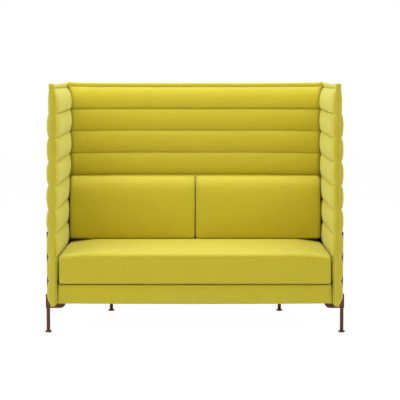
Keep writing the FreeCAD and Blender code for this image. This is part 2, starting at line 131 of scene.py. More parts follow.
class Maker:
    def __init__(self, tree):
        self.tree = tree

    def add(self, kind, settings=None, values=None):
        node = self.tree.nodes.new(kind)
        for name, value in (settings or {}).items():
            if name == "stops":
                self.setStops(node.color_ramp, value)
            else:
                setattr(node, name, value)
        for name, value in (values or {}).items():
            if isinstance(value, Wave):
                self.tree.links.new(value.socket, node.inputs[name])
            else:
                node.inputs[name].default_value = value
        return Picked(self, node)

    def setStops(self, ramp, stops):
        while len(ramp.elements) > len(stops):
            ramp.elements.remove(ramp.elements[-1])
        while len(ramp.elements) < len(stops):
            ramp.elements.new(1.0)
        for element, (place, colour) in zip(ramp.elements, stops):
            element.position = place
            element.color = (*colour, 1.0)

    def noise(self, vector, scale, detail=2.0, roughness=0.5):
        return self.add("ShaderNodeTexNoise", {}, {"Vector": vector, "Scale": scale, "Detail": detail,
                                                   "Roughness": roughness})["Fac"]

    def mixColour(self, factor, a, b):
        return self.add("ShaderNodeMix", dict(data_type="RGBA"), {"Factor": factor, 6: a, 7: b})[2]


def emptyTree(owner):
    # the cleared node tree of a material or a world, ready to be filled
    owner.use_nodes = True
    owner.node_tree.nodes.clear()
    return Maker(owner.node_tree)


def newMaterial(name, settings):
    # an empty material, its Object coordinates, and a function that adds the Principled shader with a
    # bump of the settings' depth and strength
    material = bpy.data.materials.new(name)
    maker = emptyTree(material)

    def finish(values, height):
        values["Normal"] = maker.add("ShaderNodeBump", {}, {
            "Height": height, "Distance": settings["depth"], "Strength": settings["strength"]})["Normal"]
        shader = maker.add("ShaderNodeBsdfPrincipled", {}, values)
        maker.add("ShaderNodeOutputMaterial", {}, {"Surface": shader["BSDF"]})
        return material

    return maker, maker.add("ShaderNodeTexCoord")["Object"], finish


# the seams' tone is painted shade: a dark colour mixed in along sewn lines and pad edges
wool = dict(
    light=(0.645, 0.548, 0.025), dark=(0.535, 0.442, 0.016), seamTone=(0.09, 0.07, 0.006),
    seamShade=0.86, threadPitch=0.0016, fleckScale=620.0, mottleScale=130.0, patchScale=11.0,
    fleckShare=1.1, mottleShare=1.5, patchShare=0.42, weaveShare=0.06, weaveRise=0.5, fleckRise=0.7,
    depth=0.00022, strength=0.8, sheen=0.50, sheenRoughness=0.55, sheenTint=(0.88, 1.0, 0.50),
    gloss=0.24, roughness=0.50, roughnessSpread=0.12)


def woolMaterial():
    # plain weave: height is the product of two sines a thread apart, on the piece's own UV in metres;
    # colour is a mix of two wools by flecks, mottle and soft patches, with painted shade along the seams
    maker, place, finish = newMaterial("mustard wool", wool)
    uv = maker.add("ShaderNodeUVMap", dict(uv_map="cloth"))["UV"]
    parts = maker.add("ShaderNodeSeparateXYZ", {}, {0: uv})
    turn = 2 * math.pi / wool["threadPitch"]
    warp = (parts["X"] * turn).math("SINE")
    weft = (parts["Y"] * turn).math("SINE")
    weave = warp * weft
    fleck = maker.noise(uv, wool["fleckScale"], 2.0, 0.6)
    mottle = maker.noise(place, wool["mottleScale"], 3.0, 0.6)
    patch = maker.noise(place, wool["patchScale"], 3.0, 0.55)
    # painted shade: a mark on each point, 1 along sewn lines and pad edges, that mixes in the dark seam
    # tone
    seam = maker.add("ShaderNodeAttribute", dict(attribute_name="seam"))["Fac"]
    share = 0.5 + (fleck - 0.5) * wool["fleckShare"] + (mottle - 0.5) * wool["mottleShare"]
    share = share + (patch - 0.5) * wool["patchShare"] + weave * wool["weaveShare"]
    share = share.math("ADD", 0.0, clamp=True)
    colour = maker.mixColour(share, (*wool["dark"], 1), (*wool["light"], 1))
    shaded = maker.mixColour(seam * (1 - wool["seamShade"]), colour, (*wool["seamTone"], 1))
    height = weave * wool["weaveRise"] + fleck * wool["fleckRise"]
    roughness = wool["roughness"] + fleck * wool["roughnessSpread"]
    return finish({"Base Color": shaded, "Roughness": roughness,
                   "Sheen Weight": wool["sheen"], "Sheen Roughness": wool["sheenRoughness"],
                   "Sheen Tint": (*wool["sheenTint"], 1), "Specular IOR Level": wool["gloss"]},
                  height)


def between(maker, factor, tone, darker):
    # a colour that goes from a darker tone to the tone itself
    return maker.mixColour(factor, (*[darker * part for part in tone], 1), (*tone, 1))


powder = dict(
    tone=(0.150, 0.056, 0.026), darker=0.80, peelScale=1400.0, cloudScale=26.0, roughness=0.42,
    roughnessSpread=0.16, gloss=0.22, depth=0.00008, strength=0.6)


def powderCoat():
    # a satin powder coat: a fine orange peel and slightly uneven gloss
    maker, place, finish = newMaterial("brown powder coat", powder)
    peel = maker.noise(place, powder["peelScale"], 2.0)
    cloud = maker.noise(place, powder["cloudScale"], 3.0)
    colour = between(maker, cloud, powder["tone"], powder["darker"])
    roughness = powder["roughness"] + cloud * powder["roughnessSpread"]
    return finish({"Base Color": colour, "Roughness": roughness, "Specular IOR Level": powder["gloss"]},
                  peel)


steel = dict(
    tone=(0.62, 0.62, 0.60), darker=0.75, grainScale=(900.0, 900.0, 60.0), roughness=0.28,
    roughnessSpread=0.2, depth=0.00005, strength=0.5)


def platedSteel():
    # a drawn grain: noise stretched along z
    maker, place, finish = newMaterial("zinc plated steel", steel)
    streak = maker.add("ShaderNodeMapping", {}, {"Vector": place, "Scale": steel["grainScale"]})[0]
    grain = maker.noise(streak, 1.0, 3.0)
    colour = between(maker, grain, steel["tone"], steel["darker"])
    roughness = steel["roughness"] + grain * steel["roughnessSpread"]
    return finish({"Base Color": colour, "Metallic": 1.0, "Roughness": roughness}, grain)


beech = dict(
    stretch=(1.6, 9.0, 26.0), ringScale=4.0, poreScale=60.0, roughness=0.6, roughnessSpread=0.2,
    depth=0.0002, strength=0.5,
    tones=[(0.25, (0.34, 0.21, 0.10)), (0.5, (0.52, 0.36, 0.20)), (0.8, (0.62, 0.46, 0.28))])


def beechWood():
    # growth rings and pores: noise stretched along x
    maker, place, finish = newMaterial("frame beech", beech)
    along = maker.add("ShaderNodeMapping", {}, {"Vector": place, "Scale": beech["stretch"]})[0]
    rings = maker.noise(along, beech["ringScale"], 6.0, 0.65)
    pores = maker.noise(along, beech["poreScale"], 2.0)
    colour = maker.add("ShaderNodeValToRGB", dict(stops=beech["tones"]), {0: rings})[0]
    roughness = beech["roughness"] + pores * beech["roughnessSpread"]
    return finish({"Base Color": colour, "Roughness": roughness}, pores)


board = dict(
    light=(0.52, 0.41, 0.27), dark=(0.36, 0.26, 0.15), fibreScale=160.0, roughness=0.85, depth=0.0004,
    strength=0.6)


def pressedBoard():
    # short fibres: fine noise in colour and height
    maker, place, finish = newMaterial("panel board", board)
    fibre = maker.noise(place, board["fibreScale"], 5.0, 0.7)
    colour = maker.mixColour(fibre, (*board["dark"], 1), (*board["light"], 1))
    return finish({"Base Color": colour, "Roughness": board["roughness"]}, fibre)


strip = dict(
    liningTone=(0.045, 0.045, 0.045), liningPitch=0.0022, tapeTone=(0.30, 0.26, 0.03), tapePitch=0.0016,
    darker=0.6, dustScale=90.0, weaveShare=0.3, dustShare=0.5, roughness=0.9, depth=0.0003,
    strength=0.7)


def wovenStrip(name, tone, pitch):
    # a coarse belt or tape weave: the product of two sines a thread apart on Object coordinates
    maker, place, finish = newMaterial(name, strip)
    parts = maker.add("ShaderNodeSeparateXYZ", {}, {0: place})
    turn = 2 * math.pi / pitch
    across = (parts["X"] * turn).math("SINE")
    along = ((parts["Y"] + parts["Z"]) * turn).math("SINE")
    weave = across * along
    dust = maker.noise(place, strip["dustScale"], 3.0)
    share = weave * strip["weaveShare"] + dust * strip["dustShare"]
    colour = between(maker, share, tone, strip["darker"])
    return finish({"Base Color": colour, "Roughness": strip["roughness"]}, weave)


foam = dict(
    light=(0.80, 0.77, 0.64), dark=(0.62, 0.58, 0.44), cellScale=700.0, roughness=0.95, depth=0.0006,
    strength=0.7)


def cutFoam():
    # open cells: the distance to the nearest of scattered points
    maker, place, finish = newMaterial("cut foam", foam)
    voronoi = maker.add("ShaderNodeTexVoronoi", {}, {"Vector": place, "Scale": foam["cellScale"]})
    cells = voronoi["Distance"]
    colour = maker.mixColour(cells, (*foam["dark"], 1), (*foam["light"], 1))
    return finish({"Base Color": colour, "Roughness": foam["roughness"]}, cells)


def makeRoom():
    # a white surround that gives only a little light, and a pale floor that shows almost white to the
    # camera and in reflections, and keeps the shadow
    world = bpy.data.worlds.new("studio")
    bpy.context.scene.world = world
    maker = emptyTree(world)
    path = maker.add("ShaderNodeLightPath")
    seen = path["Is Camera Ray"] + path["Is Glossy Ray"] + path["Is Transmission Ray"]
    seen = seen.math("MINIMUM", 1.0)
    strength = room["worldLight"] + seen * (1 - room["worldLight"])
    back = maker.add("ShaderNodeBackground", {}, {"Color": (1, 1, 1, 1), "Strength": strength})
    maker.add("ShaderNodeOutputWorld", {}, {"Surface": back[0]})

    half = room["floorHalf"]
    mesh = bpy.data.meshes.new("floor")
    mesh.from_pydata([(-half, -half, 0), (half, -half, 0), (half, half, 0), (-half, half, 0)], [],
                     [(0, 1, 2, 3)])
    floor = bpy.data.objects.new("floor", mesh)
    link(floor)
    material = bpy.data.materials.new("pale floor")
    maker = emptyTree(material)
    path = maker.add("ShaderNodeLightPath")
    seen = (path["Is Camera Ray"] + path["Is Glossy Ray"]).math("MINIMUM", 1.0)
    diffuse = maker.add("ShaderNodeBsdfDiffuse", {}, {"Color": (*room["floorTone"], 1)})
    white = maker.add("ShaderNodeEmission", {}, {"Color": (1, 1, 1, 1), "Strength": room["floorGlow"]})
    both = maker.add("ShaderNodeMixShader", {},
                     {0: seen * room["floorShare"], 1: diffuse[0], 2: white[0]})
    maker.add("ShaderNodeOutputMaterial", {}, {"Surface": both[0]})
    mesh.materials.append(material)


# Meshes from arrays

def boxOf(name):
    # a node's low and high corners, as arrays
    return [np.array(corner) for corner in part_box(name)]


def walkAlong(points):
    # the length walked along a row of points, up to each of them
    return np.concatenate([[0], np.cumsum(np.linalg.norm(np.diff(points, axis=0), axis=1))])


def gridQuads(rows, columns):
    # the faces of a grid of points numbered row by row
    index = np.arange(rows * columns).reshape(rows, columns)
    corners = [index[:-1, :-1], index[1:, :-1], index[1:, 1:], index[:-1, 1:]]
    return np.stack([corner.ravel() for corner in corners], axis=1)


def readAll(items, name, width=1, kind=np.float32):
    # one attribute of all the items, as an array with a row for each
    values = np.empty(len(items) * width, kind)
    items.foreach_get(name, values)
    return values.reshape(-1, width) if width > 1 else values


def faceOutwards(mesh, merge=0.0):
    shape = bmesh.new()
    shape.from_mesh(mesh)
    if merge:
        bmesh.ops.remove_doubles(shape, verts=shape.verts, dist=merge)
    bmesh.ops.recalc_face_normals(shape, faces=shape.faces)
    shape.to_mesh(mesh)
    shape.free()


def makePiece(name, points, quads, material, body, replaced=(), uv=None,
              seam=None, caps=(), smooth=True):
    # a piece from points and faces, with its own UV in metres and a mark of painted shade along its
    # seams, where given
    mesh = bpy.data.meshes.new(name)
    faces = quads.tolist() + [list(cap) for cap in caps]
    mesh.from_pydata(points.tolist(), [], faces)
    if uv is not None:
        loops = readAll(mesh.loops, "vertex_index", kind=np.int32)
        layer = mesh.uv_layers.new(name="cloth")
        layer.uv.foreach_set("vector", uv[loops].astype(np.float32).ravel())
    # the mark is painted shade, darkening the wool along sewn lines and pad edges
    if seam is not None:
        mesh.attributes.new("seam", "FLOAT", "POINT").data.foreach_set("value", seam.astype(np.float32))
    faceOutwards(mesh, merge=1e-6)
    if smooth:
        mesh.shade_smooth()
    return addPiece(name, mesh, material, body, replaced)


def addPiece(name, mesh, material, body, replaced):
    # the mesh becomes an object that rides a body and takes the place of the named nodes
    mesh.materials.append(material)
    piece = bpy.data.objects.new(name, mesh)
    link(piece)
    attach(piece, body)
    if replaced:
        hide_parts(*replaced)
    return piece


def ripple(values, seed, lengths):
    # a smooth unevenness from -1 to 1: sines of a few wavelengths with seeded phases
    phases = np.random.default_rng(seed).uniform(0, 2 * np.pi, len(lengths))
    waves = [np.sin(2 * np.pi * values / length + phase) for length, phase in zip(lengths, phases)]
    return sum(waves) / len(lengths)


def ripples(values, seed, step, count, lengths):
    # rows of ripples whose seeds are a step apart
    return np.stack([ripple(values, seed + step * number, lengths) for number in range(count)])


# The three quilted panels: channels between sewn lines, a border band, uprights that press in

# seamOut, crestOut, squeezedOut and rim are distances in metres from the panel's middle plane
quilt = dict(
    bandHalf=0.011, bandTop=0.024, bandEnd=0.010, bandBottom=0.008, topChannel=0.138, pitch=0.130,
    leastChannel=0.070, seamOut=0.0235, crestOut=0.0345, squeezedOut=0.0285, rim=0.0115,
    longTaper=0.105, taper=0.030, endPower=0.55, fullPower=2.2, fullRoot=0.75, grooveDepth=0.0016,
    grooveWidth=0.0026, puckerDepth=0.0011, puckerReach=0.012, topLess=0.0085, leftLean=0.0080,
    rightLean=0.0055, innerLean=1.3, outerLean=-0.8, leanLow=0.60, leanHigh=1.20, bandShift=0.0025,
    noseShift=0.0030, topPeak=0.62, lowPeak=0.60, uneven=0.035, unevenLengths=(0.47, 0.29, 0.17),
    foldPitch=0.034, foldLengths=(0.21, 0.13), foldSpread=0.4, foldDepthLengths=(0.33, 0.19),
    gatherDepth=0.0007, gatherPitch=0.019, gatherLengths=(0.11, 0.07), gatherReach=0.016,
    seamReach=0.004, rimReach=0.005, margin=0.0002, backingIn=0.0005, slowBelow=0.020, slowAbove=0.060,
    rowsPerChannel=26, step=0.0065, endStep=0.0030, endSteps=18, fill=0.85)

# how the panels' upper edges hang and the back's sewn lines bow
sag = dict(
    fade=0.13, over=0.01, front=0.002, rear=0.012, backMiddle=0.011, backEnd=0.007, horn=0.0055,
    hornReach=0.022, arch=0.0052, archDown=0.45, archReach=0.33)

# the uprights and the cradles' cheeks, which press into the outer pads
holder = dict(
    line=0.0335, lineRoom=0.01, rodTop=0.557, rodInner=0.0266, rodRelief=0.0092, rodReach=0.0125,
    rodEase=0.0010, rodRise=0.9, cheekTop=0.216, cheekInner=0.0226, cheekHalf=0.0128,
    cheekRelief=0.0130, cheekReach=0.010, cheekEase=0.0006, cheekRise=1.4)


def smoothStep(values, low, high):
    # 0 below low, 1 above high, and three r squared less two r cubed between them
    share = np.clip((values - low) / (high - low), 0, 1)
    return share ** 2 * (3 - 2 * share)


class Panel:
    # a panel's own frame: u outwards from its middle plane, t along it, z up
    def __init__(self, side):
        low, high = boxOf(side + "_panel_band")
        half = quilt["bandHalf"]
        self.side = side
        self.low = low[2]
        self.high = high[2]
        if side == "back":
            self.start = np.array([high[0], (low[1] + high[1]) / 2])
            finish = np.array([low[0], self.start[1]])
            outwards = np.array([0.0, 1.0])
        else:
            sign = 1.0 if side == "right" else -1.0
            wide = max(abs(low[0]), abs(high[0])) - half
            narrow = min(abs(low[0]), abs(high[0])) + half
            self.start = np.array([sign * wide, low[1]])
            finish = np.array([sign * narrow, high[1]])
            outwards = np.array([sign, 0.0])
        self.length = float(np.linalg.norm(finish - self.start))
        self.along = (finish - self.start) / self.length
        across = np.array([self.along[1], -self.along[0]])
        self.outwards = across if across @ outwards > 0 else -across
        self.coreLow = self.low + quilt["bandBottom"]
        self.coreHigh = self.high - quilt["bandTop"]
        self.seams = np.arange(self.coreHigh - quilt["topChannel"], self.coreLow + quilt["leastChannel"],
                               -quilt["pitch"])[::-1]
        rods = [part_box(name) for name in nodes if name.endswith("_upright")]
        centres = [np.array([(low[0] + high[0]) / 2, (low[1] + high[1]) / 2]) - self.start
                   for low, high in rods]
        near = [centre for centre in centres
                if abs(centre @ self.outwards - holder["line"]) < holder["lineRoom"]
                and 0 < centre @ self.along < self.length]
        self.holders = [float(centre @ self.along) for centre in near]

    def place(self, u, t, z):
        # the soft top edge hangs a little between small horns at its two corners, and the back's sewn
        # lines bow up in the middle
        share = t / self.length
        ends = np.minimum(t, self.length - t)
        if self.side == "back":
            drop = sag["backMiddle"] + (sag["backEnd"] - sag["backMiddle"]) * (2 * share - 1) ** 4
            bow = sag["arch"] * (1 - (2 * share - 1) ** 4)
            middle = np.exp(-((z - self.coreHigh + sag["archDown"]) / sag["archReach"]) ** 4)
            z = z + bow * middle
        else:
            drop = sag["front"] + (sag["rear"] - sag["front"]) * share
        high = smoothStep(z, self.coreHigh - sag["fade"], self.coreHigh + sag["over"])
        z = z + (sag["horn"] * np.exp(-(ends / sag["hornReach"]) ** 2) - drop) * high
        x = self.start[0] + self.along[0] * t + self.outwards[0] * u
        y = self.start[1] + self.along[1] * t + self.outwards[1] * u
        return np.stack([x, y, z], axis=-1)


def channelRows(panel):
    # heights up the pad, closer together near each sewn line, with each row's channel and its share of
    # the channel's height
    levels = np.concatenate([[panel.coreLow], panel.seams, [panel.coreHigh]])
    count = quilt["rowsPerChannel"]
    share = (1 - np.cos(np.pi * np.arange(count) / count)) / 2
    heights = (levels[:-1, None] + np.diff(levels)[:, None] * share[None, :]).ravel()
    channel = np.repeat(np.arange(len(levels) - 1), count)
    shares = np.tile(share, len(levels) - 1)
    return (np.append(heights, levels[-1]), np.append(channel, len(levels) - 2),
            np.append(shares, 1.0), levels)


def padHeights(panel, t, inner, seed, lowSqueezed):
    # outward distance: a base line from seam to seam, plus a full arch between two sewn lines,
    # times a quarter ellipse at the pad's two ends, less a groove and small puckers at the seams
    rows, channel, share, levels = channelRows(panel)
    crest = np.full(len(levels) - 1, quilt["crestOut"])
    middles = (levels[:-1] + levels[1:]) / 2
    seams = np.full(len(levels), quilt["seamOut"])
    rim = np.full(len(rows), quilt["rim"])
    if panel.side != "back":
        # above the uprights the bulges stand a little further in; the top one outside is the flattest
        lean = quilt[panel.side + "Lean"] * (quilt["innerLean"] if inner else quilt["outerLean"])
        crest += lean * smoothStep(middles, quilt["leanLow"], quilt["leanHigh"])
        seams += lean * smoothStep(levels, quilt["leanLow"], quilt["leanHigh"])
        if inner:
            rim += quilt["bandShift"] * smoothStep(rows, quilt["leanLow"], quilt["leanHigh"])
        else:
            crest[-1] -= quilt["topLess"]
    crest[middles < lowSqueezed] = quilt["squeezedOut"]
    seams[0] = rim[0]
    seams[-1] = rim[-1]
    # the top bulge, and the lowest one of an inner pad, are fullest a little below their middle
    peaked = np.where(channel == len(levels) - 2, share ** quilt["topPeak"], share)
    if lowSqueezed > 0:
        peaked = np.where(channel == 0, share ** quilt["lowPeak"], peaked)
    arch = (1 - np.abs(2 * peaked - 1) ** quilt["fullPower"]) ** quilt["fullRoot"]
    base = seams[channel] * (1 - share) + seams[channel + 1] * share
    uneven = ripples(t, seed, 31, len(levels) - 1, quilt["unevenLengths"])
    lift = (crest[channel] - base)[:, None] * arch[:, None] * (1 + quilt["uneven"] * uneven[channel])
    out = base[:, None] + lift

    nearest = np.abs(rows[:, None] - levels[None, :]).min(axis=1)
    inside = np.abs(rows[:, None] - panel.seams[None, :]).min(axis=1)
    which = np.abs(rows[:, None] - panel.seams[None, :]).argmin(axis=1)
    count = len(panel.seams)
    turns = t / quilt["foldPitch"] + 0.5 * ripples(t, seed, 7, count, quilt["foldLengths"])
    folds = 0.5 + 0.5 * np.sin(2 * np.pi * turns)
    spread = quilt["foldSpread"]
    strength = 1 - spread + spread * ripples(t, seed, 11, count, quilt["foldDepthLengths"])
    pucker = (folds * strength)[which] * np.exp(-inside / quilt["puckerReach"])[:, None]
    out -= quilt["puckerDepth"] * pucker
    out -= (quilt["grooveDepth"] * np.exp(-(inside / quilt["grooveWidth"]) ** 2))[:, None]

    # the inner bulges of the side panels round down slowly towards the front, above the seat
    fromEnd = np.minimum(t - t[0], t[-1] - t)
    taper = np.full(out.shape, quilt["taper"])
    if inner and panel.side != "back":
        slow = smoothStep(rows, lowSqueezed - quilt["slowBelow"], lowSqueezed + quilt["slowAbove"])
        slow = slow[:, None] * (t < t.mean())
        taper += (quilt["longTaper"] - quilt["taper"]) * slow
    reach = np.clip(fromEnd / taper, 0, 1)
    fullness = (1 - (1 - reach) ** 2) ** quilt["endPower"]
    out = rim[:, None] + (out - rim[:, None]) * fullness
    wander = 2 * ripple(rows, seed + 3, quilt["gatherLengths"])
    gather = 0.5 + 0.5 * np.sin(2 * np.pi * rows / quilt["gatherPitch"] + wander)
    near = np.exp(-fromEnd / quilt["gatherReach"])
    out -= quilt["gatherDepth"] * gather[:, None] * near[None, :] * reach ** 0.5
    if not inner:
        for middle in panel.holders:
            out = np.minimum(out, holderLimit(rows, t, middle))
    # a mark of painted shade, strongest on the sewn lines and at the pad's two ends
    seamShadeMark = np.maximum(np.exp(-(nearest / quilt["seamReach"]) ** 2)[:, None] * np.ones_like(out),
                          np.exp(-(fromEnd / quilt["rimReach"]) ** 2)[None, :])
    return rows, out, seamShadeMark


def holderLimit(rows, t, middle):
    # how far out the pad may stand beside an upright rod and a cradle's cheek, which press into it:
    # a bell-shaped dip around each, that rises quickly above its top
    across = np.abs(t - middle)[None, :]
    height = rows[:, None]
    rod = holder["rodInner"] + holder["rodRelief"] * (1 - np.exp(-(across / holder["rodReach"]) ** 2))
    rod = rod + np.clip(height - holder["rodTop"] - holder["rodEase"], 0, None) * holder["rodRise"]
    beside = np.clip(across - holder["cheekHalf"], 0, None)
    relief = 1 - np.exp(-(beside / holder["cheekReach"]) ** 2)
    cheek = holder["cheekInner"] + holder["cheekRelief"] * relief
    overTop = np.clip(height - holder["cheekTop"] - holder["cheekEase"], 0, None)
    return np.minimum(rod, cheek + overTop * holder["cheekRise"])


def alongSteps(start, end):
    # closer together near the two ends, where the pad rounds down
    near = np.arange(quilt["endSteps"]) * quilt["endStep"]
    count = max(int((end - start - 2 * near[-1]) / quilt["step"]), 2)
    middle = np.linspace(start + near[-1], end - near[-1], count + 1)[1:-1]
    return np.concatenate([start + near, middle, (end - near)[::-1]])


def makePad(panel, inner, material, seed):
    # the quilted face is a grid of heights and places along the panel, closed by a rim and a flat back
    node = f"{panel.side}_panel_{'inner' if inner else 'outer'}_pad"
    low, high = boxOf(node)
    corners = np.array([[low[0], low[1]], [low[0], high[1]], [high[0], low[1]], [high[0], high[1]]])
    reach = (corners - panel.start) @ panel.along
    t = alongSteps(reach.min() + quilt["margin"], reach.max() - quilt["margin"])
    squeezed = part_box("seat_cushion_cover")[1][2] if inner else -1.0
    rows, out, seamShadeMark = padHeights(panel, t, inner, seed, squeezed)
    sign = -1.0 if inner else 1.0
    heights = np.broadcast_to(rows[:, None], out.shape)
    wide = np.broadcast_to(t[None, :], out.shape)
    front = panel.place(sign * out, wide, heights).reshape(-1, 3)
    index = np.arange(out.size).reshape(out.shape)
    loop = np.concatenate([index[0, :], index[1:, -1], index[-1, -2::-1], index[-2:0:-1, 0]])
    backing = panel.place(sign * np.full(len(loop), quilt["bandHalf"] - quilt["backingIn"]),
                          wide.ravel()[loop], heights.ravel()[loop])
    points = np.concatenate([front, backing])
    after = np.arange(len(loop)) + out.size
    walls = np.stack([loop, np.roll(loop, -1), np.roll(after, -1), after], axis=1)
    quads = np.concatenate([gridQuads(*out.shape), walls])
    arc = walkAlong(np.stack([rows, out[:, out.shape[1] // 2]], axis=1))
    uv = np.stack([wide, np.broadcast_to(arc[:, None], out.shape)], axis=-1).reshape(-1, 2)
    uv = np.concatenate([uv, uv[loop]])
    # painted shade along the seams, and full on the rim walls and the back
    seam = np.concatenate([seamShadeMark.ravel(), np.ones(len(loop))])
    piece = makePiece(node + "_quilted", points, quads, material, "frame", (node,), uv=uv, seam=seam,
                      caps=(after[::-1],))


# Border bands: a soft section carried round each panel's edge, with a sewn line down its middle

# share of the band's width, depth added to it, and distance from the panel's middle plane, from the
# pad's edge to the band's middle line
bandSection = dict(
    share=(1.0, 1.0, 0.55, 0.10, 0.0, 0.0, 0.0, 0.0, 0.0, 0.0),
    depth=(0.0, -0.0012, 0.0, 0.0030, 0.0022, 0.0009, 0.0001, 0.0, 0.0005, 0.0014),
    out=(0.0112, 0.0122, 0.0134, 0.0128, 0.0114, 0.0092, 0.0064, 0.0036, 0.0014, 0.0), step=0.016,
    roundPoints=7, outerRadius=0.009, innerRadius=0.002, soft=0.0005, softLengths=(0.23, 0.11, 0.061),
    fullness=0.02, fullLengths=(0.31, 0.17), shiftOver=0.012, noseDepth=0.002, middleSeam=0.8)


def roundedOutline(t0, t1, z0, z1, radius, step):
    # four straight edges and four quarter rounds, the same number of points for any size of rectangle
    points = []
    corners = [(t1 - radius, z0 + radius, -90), (t1 - radius, z1 - radius, 0),
               (t0 + radius, z1 - radius, 90), (t0 + radius, z0 + radius, 180)]
    for number, (t, z, angle) in enumerate(corners):
        turn = np.radians(angle + np.linspace(0, 90, bandSection["roundPoints"]))
        points.append(np.stack([t + radius * np.cos(turn), z + radius * np.sin(turn)], axis=1))
        following = corners[(number + 1) % 4]
        finish = np.radians(following[2])
        begin = points[-1][-1]
        end = np.array([following[0] + radius * np.cos(finish), following[1] + radius * np.sin(finish)])
        share = np.linspace(0, 1, step[number % 2] + 1)[1:-1, None]
        points.append(begin + (end - begin) * share)
    return np.concatenate(points)


def makeBand(panel, material, seed):
    # between an outer and an inner outline, each ring of points runs round from the one face over the
    # edge to the other face
    node = panel.side + "_panel_band"
    steps = [int(length / bandSection["step"]) for length in (panel.high - panel.low, panel.length)]
    outer = roundedOutline(0, panel.length, panel.low, panel.high, bandSection["outerRadius"], steps)
    inner = roundedOutline(quilt["bandEnd"], panel.length - quilt["bandEnd"], panel.coreLow,
                           panel.coreHigh, bandSection["innerRadius"], steps)
    walked = walkAlong(outer)
    width = np.linalg.norm(inner - outer, axis=1)[:, None]
    inwards = (inner - outer) / width
    share, depth, out = [np.array(bandSection[key]) for key in ("share", "depth", "out")]
    share = np.concatenate([share, share[-2::-1]])[None, :]
    depth = np.concatenate([depth, depth[-2::-1]])[None, :]
    out = np.concatenate([-out, out[-2::-1]])[None, :]
    soft = bandSection["soft"] * ripple(walked, seed, bandSection["softLengths"])[:, None]
    into = np.clip(share * width + depth + soft * (1 - share), 0, width)
    t = outer[:, :1] + inwards[:, :1] * into
    z = outer[:, 1:] + inwards[:, 1:] * into
    fuller = bandSection["fullness"] * ripple(walked, seed + 5, bandSection["fullLengths"])
    u = out * (1 + fuller)[:, None]
    if panel.side != "back":
        # above the uprights the band widens inwards, and its front nose stands further in
        above = smoothStep(z, quilt["leanLow"], quilt["leanHigh"])
        nose = smoothStep(-t, -quilt["bandEnd"], -bandSection["noseDepth"])
        u = u - quilt["bandShift"] * above * np.clip(-u / bandSection["shiftOver"], 0, 1)
        u = u - quilt["noseShift"] * above * nose * np.clip(u / bandSection["shiftOver"], 0, 1)
    points = panel.place(u, t, z)
    count, ring = u.shape
    index = np.arange(count * ring).reshape(count, ring)
    following = np.roll(index, -1, axis=0)
    quads = np.stack([index, following, np.roll(following, -1, axis=1), np.roll(index, -1, axis=1)],
                     axis=-1).reshape(-1, 4)
    around = walkAlong(np.stack([out[0], depth[0]], axis=1))
    uv = np.stack(np.broadcast_arrays(walked[:, None], around[None, :]), axis=-1).reshape(-1, 2)
    # painted shade: full at the band's two edges beside the pads, and most of it on the middle sewn line
    seamShadeLine = np.zeros(ring)
    seamShadeLine[[0, 1, -2, -1]] = 1.0
    seamShadeLine[ring // 2] = bandSection["middleSeam"]
    seam = np.broadcast_to(seamShadeLine[None, :], u.shape).ravel()
    piece = makePiece(node + "_sewn", points.reshape(-1, 3), quads, material, "frame", (node,),
                      uv=uv, seam=seam)
    modifier = piece.modifiers.new("smooth", "SUBSURF")
    modifier.levels = 1
    modifier.render_levels = 1


# Cushions and aprons: blocks lofted from closed sections; the cushions are then puffed up as cloth

cornerPoints = 7                  # on each rounded corner of a cushion's section
lastCorner = 3 * cornerPoints     # where the fourth corner, the upper front one, begins


def roundedLoop(corners, radii, each=cornerPoints):
    # a closed outline of four corners, each rounded by its own radius, as an array of points
    corners = np.array(corners, float)
    loop = []
    for number in range(len(corners)):
        here = corners[number]
        before = corners[number - 1] - here
        after = corners[(number + 1) % len(corners)] - here
        before /= np.linalg.norm(before)
        after /= np.linalg.norm(after)
        half = np.arccos(np.clip(before @ after, -1, 1)) / 2
        radius = radii[number]
        centre = here + (before + after) / np.linalg.norm(before + after) * radius / np.sin(half)
        first = here + before * radius / np.tan(half) - centre
        last = here + after * radius / np.tan(half) - centre
        share = np.linspace(0, 1, each)[:, None]
        arc = first * (1 - share) + last * share
        arc *= radius / np.linalg.norm(arc, axis=1)[:, None]
        loop.append(centre + arc)
    return np.concatenate(loop)


def loftBlock(loops):
    # loops has one closed outline per row; its faces join them, and two caps close the ends
    rows, ring = loops.shape[:2]
    index = np.arange(rows * ring).reshape(rows, ring)
    quads = np.stack([index[:-1], np.roll(index[:-1], -1, axis=1), np.roll(index[1:], -1, axis=1),
                      index[1:]], axis=-1).reshape(-1, 4)
    return loops.reshape(-1, 3), quads, (index[0][::-1], index[-1])


def sideLine(y, inwards):
    # half the width at y, to a line a distance in from the right panel's middle plane
    panel = panels["right"]
    slope = panel.along[0] / panel.along[1]
    return panel.start[0] + (y - panel.start[1]) * slope - inwards


def sideInset(low, high):
    # how far in from the side panel's middle plane a box's end lies, at its front
    return sideLine(low[1], 0.0) - high[0]


def clothUv(mesh):
    # each face takes the two coordinates that it lies in, in metres
    facing = np.abs(readAll(mesh.polygons, "normal", 3)).argmax(axis=1)
    points = readAll(mesh.vertices, "co", 3)
    corner = points[readAll(mesh.loops, "vertex_index", kind=np.int32)]
    face = np.repeat(facing, readAll(mesh.polygons, "loop_total", kind=np.int32))
    pairs = np.array([(1, 2), (0, 2), (0, 1)])[face]
    uv = np.take_along_axis(corner, pairs, axis=1)
    layer = mesh.uv_layers.new(name="cloth")
    layer.uv.foreach_set("vector", uv.astype(np.float32).ravel())


def fillFaces(loop, counts, each=cornerPoints):
    # points along each straight face of a rounded outline, counts of them from corner to corner
    parts = []
    for number, count in enumerate(counts):
        arc = loop[number * each:(number + 1) * each]
        following = loop[(number + 1) * each % len(loop)]
        share = np.linspace(0, 1, count + 1)[1:-1, None]
        parts += [arc, arc[-1] + (following - arc[-1]) * share]
    return np.concatenate(parts)


